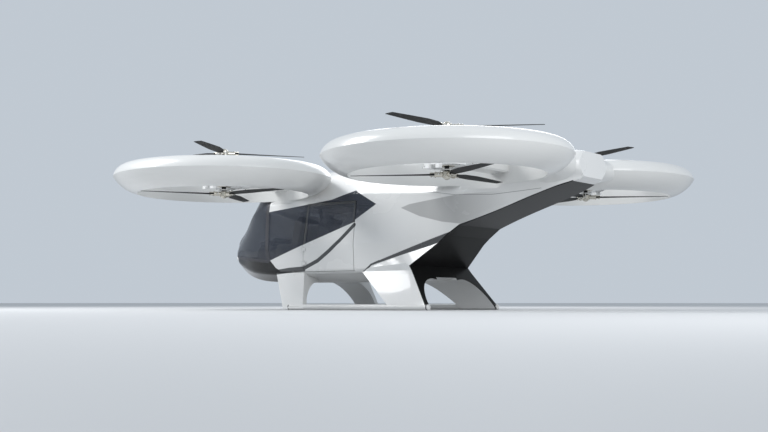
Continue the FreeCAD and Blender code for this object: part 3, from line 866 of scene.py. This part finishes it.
@dataclass
class SeatDress:
    """Cushions, head rest and belts over one seat moulding."""

    index: int
    x: float
    y: float
    floor: float = 0.640
    recline: float = 11.5
    base_at: Point = (0.18, 0.495)
    base_size: tuple[float, float, float] = (0.430, 0.40, 0.085)
    back_at: Point = (0.415, 0.735)
    back_size: tuple[float, float, float] = (0.430, 0.075, 0.46)
    head_at: Point = (0.49, 1.045)
    head_size: tuple[float, float, float] = (0.25, 0.09, 0.15)
    belt_width: float = 0.046
    shoulder_length: float = 0.44
    lap_length: float = 0.15
    shoulder_at: tuple[float, float, float] = (0.085, 0.372, 0.745)
    lap_at: tuple[float, float, float] = (0.11, 0.20, 0.541)
    buckle_at: Point = (0.20, 0.547)
    buckle_size: tuple[float, float, float] = (0.07, 0.06, 0.018)

    def build(self) -> None:
        """Makes the seat's soft parts and its belts."""
        upright = Matrix.Identity(3)
        lean = Matrix.Rotation(math.radians(-self.recline), 3, "X")
        self.cushion("seat_cushion", self.base_at, self.base_size, 0.034, upright)
        self.cushion("back_cushion", self.back_at, self.back_size, 0.030, lean)
        self.cushion("head_rest", self.head_at, self.head_size, 0.036, lean)
        self.belts(lean)

    def place(self, across: float, along: float, up: float) -> tuple[float, float, float]:
        """A point given from the seat's foot."""
        return self.x + across, self.y + along, self.floor + up

    def cushion(self, name: str, at: Point, size: Sequence[float], rounding: float,
                turn: Matrix) -> None:
        """Makes one padded cushion.

        Args:
            name: The cushion's name without the seat's number.
            at: Its middle, along and up from the seat's foot.
            size: Its lengths along X, Y and Z.
            rounding: Radius of its edges.
            turn: How it leans.
        """
        shape = Shape().box(self.place(0, *at), size, rounding, turn, 4)
        item = shape.piece(f"{name}_{self.index}", SEAT_LEATHER, "airframe", "seat_leather", 60)

    def belts(self, lean: Matrix) -> None:
        """Shoulder belts laid over the back cushion, with a buckle."""
        straps = Shape()
        for side in (-1, 1):
            across, along, up = self.shoulder_at
            straps.box(self.place(side * across, along, up),
                       (self.belt_width, 0.006, self.shoulder_length), 0.002, lean)
            across, along, up = self.lap_at
            straps.box(self.place(side * across, along, up),
                       (self.lap_length, self.belt_width, 0.005), 0.002)
        straps.piece(f"belts_{self.index}", BELT_BLACK, "airframe", "seat_leather")
        buckle = Shape().box(self.place(0, *self.buckle_at), self.buckle_size, 0.005)
        buckle.piece(f"buckle_{self.index}", BRIGHT_STEEL, "airframe", "seat_leather")


@dataclass
class CockpitDress:
    """Screens, a glare hood, pedals and side sticks at the instrument panel."""

    floor: float = 0.640
    screen_size: Point = (0.34, 0.21)
    screen_x: tuple[float, ...] = (-0.20, 0.20)
    screen_at: Point = (-2.835, 1.215)
    screen_lean: float = 38.0
    screen_edge: float = 0.03
    hood_outline: tuple[Point, ...] = ((-3.10, 1.215), (-2.90, 1.235), (-2.86, 1.262),
                                       (-2.93, 1.275), (-3.10, 1.232))
    stick_x: tuple[float, ...] = (-0.045, 0.045)
    console_y: float = -2.42
    console_size: tuple[float, float, float] = (0.075, 0.30, 0.42)
    stick_y: Point = (-2.50, -2.52)
    stick_top: float = 0.53
    pedal_x: tuple[float, ...] = (-0.40, -0.25, 0.25, 0.40)
    pedal_at: Point = (-2.80, 0.07)
    pedal_size: tuple[float, float, float] = (0.085, 0.012, 0.16)
    pedal_lean: float = 50.0

    def build(self) -> None:
        """Makes the cockpit's controls."""
        low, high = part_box("instrument_panel")
        lean = Matrix.Rotation(math.radians(-self.screen_lean), 3, "X")
        frames, glass = Shape(), Shape()
        for x in self.screen_x:
            centre = Vector((x, *self.screen_at))
            frames.box(centre, (self.screen_size[0] + self.screen_edge, 0.022,
                                self.screen_size[1] + self.screen_edge), 0.006, lean)
            face = centre + lean @ Vector((0, 0.0125, 0))
            glass.box(face, (self.screen_size[0], 0.003, self.screen_size[1]), 0.001, lean)
        frames.piece("screen_frames", GRAPHITE, "airframe", "panel_trim")
        glass.piece("screens", SCREEN, "airframe", "panel_trim")
        self.hood(low, high)
        self.sticks()
        self.pedals()

    def hood(self, low: Vector, high: Vector) -> None:
        """Glare hood over the panel."""
        outline = [(low.x, y, z) for y, z in self.hood_outline]
        Shape().prism(outline, (high.x - low.x, 0, 0)).piece(
            "glare_hood", PANEL_TRIM, "airframe", "panel_trim")

    def sticks(self) -> None:
        """One side stick on a small console beside each front seat."""
        height = self.console_size[2]
        foot_y, top_y = self.stick_y
        for index, x in enumerate(self.stick_x):
            console = Shape().box((x, self.console_y, self.floor + height / 2),
                                  self.console_size, 0.012)
            console.piece(f"stick_console_{index}", PANEL_TRIM, "airframe", "panel_trim")
            stick = Shape().rod((x, foot_y, self.floor + height),
                                (x, top_y, self.floor + self.stick_top), 0.014, 0.017)
            stick.ball((x, top_y, self.floor + self.stick_top + 0.01), 0.024)
            stick.piece(f"side_stick_{index}", GRAPHITE, "airframe", "panel_trim")

    def pedals(self) -> None:
        """Foot rests under the panel."""
        shape = Shape()
        lean = Matrix.Rotation(math.radians(self.pedal_lean), 3, "X")
        y, up = self.pedal_at
        for x in self.pedal_x:
            shape.box((x, y, self.floor + up), self.pedal_size, 0.003, lean)
        shape.piece("foot_rests", BRIGHT_STEEL, "airframe", "panel_trim")


# Landing gear

@dataclass
class SkidDress:
    """End bands and foot clamps of one skid."""

    side: str
    radius: float = 0.047
    band_wall: float = 0.0015
    band_from_end: Point = (0.030, 0.050)
    clamp_wall: float = 0.002
    clamp_half: float = 0.016
    clamp_from_foot_end: float = 0.08
    front_foot: Point = (-1.80, -1.47)
    rear_foot: Point = (0.47, 1.13)
    segments: int = 32

    def build(self) -> None:
        """Makes the skid's bands and clamps, which reach down to the floor and no lower."""
        low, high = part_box(f"skid_{self.side}")
        x = (low.x + high.x) / 2
        near, far = self.band_from_end
        bands = Shape()
        for y, way in ((low.y, 1), (high.y, -1)):
            self.ring(bands, x, y + way * near, y + way * far, self.band_wall)
        bands.piece(f"skid_bands_{self.side}", GRAPHITE, "airframe", "white_paint")
        clamps = Shape()
        for foot in (self.front_foot, self.rear_foot):
            for y in (foot[0] + self.clamp_from_foot_end, foot[1] - self.clamp_from_foot_end):
                self.ring(clamps, x, y - self.clamp_half, y + self.clamp_half,
                          self.clamp_wall)
        clamps.piece(f"foot_clamps_{self.side}", GEAR_WHITE, "airframe", "white_paint")

    def ring(self, shape: Shape, x: float, start: float, end: float, wall: float) -> None:
        """Adds a ring that stands on the floor around the tube, from one Y to another."""
        radius = self.radius + wall
        shape.rod((x, start, radius), (x, end, radius), radius, segments=self.segments)


# Body trim

@dataclass
class TailFairing:
    """Smooth fairing that fills the corner between the tail's end and one rear duct."""

    side: Side
    tail_x: float = 0.30
    ring_x: float = 1.50
    ring_radius: float = 1.80
    under_radius: float = 1.60
    bore_clear: float = 1.53
    stations: int = 26
    chord_steps: int = 22
    tail_rear: float = 3.500
    tail_top: float = 2.400
    ring_top: float = 2.372
    ring_low: float = 2.030
    cap_length: float = 0.26
    panel_foot: Point = (1.48, 1.395)
    panel_slope: float = 0.3175
    front_edge: Point = (2.75, 3.20)
    blend_power: float = 2.2
    ring_inset: float = 0.03
    under_from_x: float = 0.36
    under_last_y: float = 3.37

    def build(self) -> None:
        """Makes the fairing's skin."""
        low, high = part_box("duct_rear_port")
        self.centre = (low + high) / 2
        shape = Shape()
        rows = [self.station(index / (self.stations - 1)) for index in range(self.stations)]
        made = [[shape.mesh.verts.new(point) for point in row] for row in rows]
        for here, there in zip(made, made[1:]):
            for step in range(len(here) - 1):
                shape.mesh.faces.new([here[step], here[step + 1], there[step + 1],
                                      there[step]])
        shape.piece(f"tail_fairing_{self.side.name.lower()}", DUCT_WHITE, "airframe",
                    "white_paint", 60)

    def rear_edge(self, x: float, share: float) -> float:
        """Y of the fairing's rear edge, from the tail's end out to the duct's back."""
        reach = self.ring_radius ** 2 - (self.centre.x - x) ** 2
        ring = self.centre.y + math.sqrt(max(reach, 0.0))
        blend = share ** self.blend_power
        return self.tail_rear * (1 - blend) + (ring - self.ring_inset) * blend

    def under(self, x: float, y: float) -> float:
        """Height of the lower skin between the black panel and the duct's underside."""
        panel = self.panel_foot[1] + (y - self.panel_foot[0]) * self.panel_slope
        reach = self.under_radius ** 2 - (y - self.centre.y) ** 2
        ring_x = self.centre.x - math.sqrt(max(reach, 0.04))
        start = self.under_from_x
        share = min(max((x - start) / max(ring_x - start, 0.05), 0.0), 1.0)
        share = share * share * (3 - 2 * share)
        return min(panel, self.ring_low) * (1 - share) + self.ring_low * share

    def station(self, share: float) -> list[Vector]:
        """One section of the skin at a constant X, from the front under side over the rear."""
        x = self.tail_x + (self.ring_x - self.tail_x) * share
        rear = self.rear_edge(x, share)
        clear = self.bore_clear ** 2 - (self.centre.x - x) ** 2
        near, far = self.front_edge
        front = max(near + (far - near) * share, self.centre.y + math.sqrt(max(clear, 0.0)))
        top = self.tail_top * (1 - share) + self.ring_top * share
        points = []
        for index in range(self.chord_steps + 1):
            y = front + (rear - front) * math.sin(math.pi / 2 * index / self.chord_steps)
            low = self.under(x, min(y, self.under_last_y))
            middle = (low + top) / 2
            over = max((y - (rear - self.cap_length)) / self.cap_length, 0.0)
            thin = math.sqrt(max(1 - over * over, 0.0))
            points.append((y, middle - (middle - low) * thin, middle + (top - middle) * thin))
        x *= self.side.value
        lower = [Vector((x, y, low)) for y, low, _ in points]
        upper = [Vector((x, y, high)) for y, _, high in reversed(points[:-1])]
        return lower + upper


@dataclass
class NoseDress:
    """White lip round the nose under the windscreen."""

    lip_heights: Point = (0.900, 1.005)
    bulge: float = 0.026
    half_width: float = 0.42
    sink: float = 0.004
    least_height: float = 0.25
    middle_y: float = -3.3
    search_from_y: float = -6.0
    columns: int = 33
    rows: int = 9

    def build(self) -> None:
        """Makes the lip as a rounded strip that swells out of the nose's skin."""
        shape = Shape()
        low, high = self.lip_heights
        lines = []
        for column in range(self.columns):
            across = (column / (self.columns - 1) - 0.5) * 2
            taper = math.sqrt(max(1 - abs(across) ** 6, 0.0))
            least = self.least_height
            half = (high - low) / 2 * (least + (1 - least) * taper)
            line = []
            for row in range(self.rows):
                share = row / (self.rows - 1)
                height = (low + high) / 2 + half * (2 * share - 1)
                spot = self.skin_point(across * self.half_width, height)
                out = Vector((spot.x, spot.y - self.middle_y, 0)).normalized()
                swell = self.bulge * taper * math.sin(math.pi * share)
                line.append(spot + out * (swell - self.sink))
            lines.append([shape.mesh.verts.new(spot) for spot in line])
        for here, there in zip(lines, lines[1:]):
            for row in range(self.rows - 1):
                shape.mesh.faces.new([here[row], here[row + 1], there[row + 1], there[row]])
        shape.piece("nose_lip", GEAR_WHITE, "airframe", "white_paint", 60)

    def skin_point(self, x: float, z: float) -> Vector:
        """Where a line along Y from the front meets the nose's skin."""
        start, way = Vector((x, self.search_from_y, z)), Vector((0, 1, 0))
        best = None
        for name in ("nose_glass", "canopy_frame", "windscreen"):
            hit, place, _, _ = bpy.data.objects[name].ray_cast(start, way)
            if hit and (best is None or place.y < best.y):
                best = place
        return best


# Setting

# Lamps: name, place in metres, side of the square lamp in metres, power in watts
LAMPS = (
    ("key", (9, -9, 11), 7.0, 1700.0),
    ("fill", (6, 15, 7), 10.0, 1150.0),
    ("back", (-12, -6, 9), 9.0, 550.0),
)


@dataclass
class Studio:
    """Pale floor, soft lamps and the camera at the photograph's angle."""

    floor_size: float = 500.0
    floor_colour: Colour = (0.62, 0.625, 0.63, 1.0)
    lens: float = 50.7
    camera_place: tuple[float, float, float] = (14.9, 11.03, 0.12)
    camera_target: tuple[float, float, float] = (0.30, -0.28, 1.60)
    world_colour: Colour = (0.78, 0.86, 0.95, 1.0)
    world_strength: float = 0.68
    lamp_target: tuple[float, float, float] = (0.0, 0.0, 1.5)

    def build(self) -> None:
        """Makes the floor, the world, the lamps and the camera."""
        self.floor()
        self.world()
        self.lamps()
        self.camera()

    def floor(self) -> None:
        """Lays the pale floor."""
        half = self.floor_size / 2
        mesh = bpy.data.meshes.new("floor")
        mesh.from_pydata([(-half, -half, 0), (half, -half, 0), (half, half, 0),
                          (-half, half, 0)], [], [(0, 1, 2, 3)])
        plane = bpy.data.objects.new("floor", mesh)
        bpy.context.scene.collection.objects.link(plane)
        finish = Finish("floor_pale", self.floor_colour, 0.75, amount=0.0)
        mesh.materials.append(finish.material())

    def world(self) -> None:
        """Sets a soft pale world."""
        world = bpy.data.worlds.new("studio")
        world.use_nodes = True
        back = world.node_tree.nodes["Background"]
        back.inputs["Color"].default_value = self.world_colour
        back.inputs["Strength"].default_value = self.world_strength
        bpy.context.scene.world = world
        bpy.context.scene.view_settings.view_transform = "Standard"

    def lamps(self) -> None:
        """Hangs the soft lamps round the craft."""
        for name, place, size, power in LAMPS:
            lamp = bpy.data.lights.new(name, "AREA")
            lamp.size = size
            lamp.energy = power
            item = bpy.data.objects.new(name, lamp)
            item.location = place
            aim = Vector(self.lamp_target) - Vector(place)
            item.rotation_mode = "QUATERNION"
            item.rotation_quaternion = aim.to_track_quat("-Z", "Y")
            bpy.context.scene.collection.objects.link(item)

    def camera(self) -> None:
        """Places the camera at floor level, where the photograph looks from."""
        data = bpy.data.cameras.new("camera")
        data.lens = self.lens
        item = bpy.data.objects.new("camera", data)
        item.location = self.camera_place
        aim = Vector(self.camera_target) - Vector(self.camera_place)
        item.rotation_mode = "QUATERNION"
        item.rotation_quaternion = aim.to_track_quat("-Z", "Y")
        bpy.context.scene.collection.objects.link(item)
        bpy.context.scene.camera = item


def dress_parts(joints: Sequence[dict]) -> None:
    """Builds every sub-assembly's dressing.

    Args:
        joints: The record's joints, which give each rotor's place.
    """
    for joint in joints:
        if joint["name"].endswith("_spin"):
            outward = 1 if "_upper_" in joint["name"] else -1
            RotorDress(joint["child"], Vector(joint["pos_m"]), outward).build()
    for end in ENDS:
        for side in SIDES:
            HousingDress(end, side).build()
    for index, (x, y) in enumerate((x, y) for y in SEAT_ROWS_Y for x in SEATS_X):
        SeatDress(index, x, y).build()
    CockpitDress().build()
    for side in SIDES:
        SkidDress(side).build()
    for side in Side:
        TailFairing(side).build()
    NoseDress().build()


def main() -> None:
    """Builds the looks around the frame, in order."""
    logging.basicConfig(level=logging.INFO, format="%(message)s")
    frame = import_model()
    Studio().build()
    dress_nodes(frame["nodes"])
    dress_parts(frame["joints"])


if __name__ == "__main__":
    main()
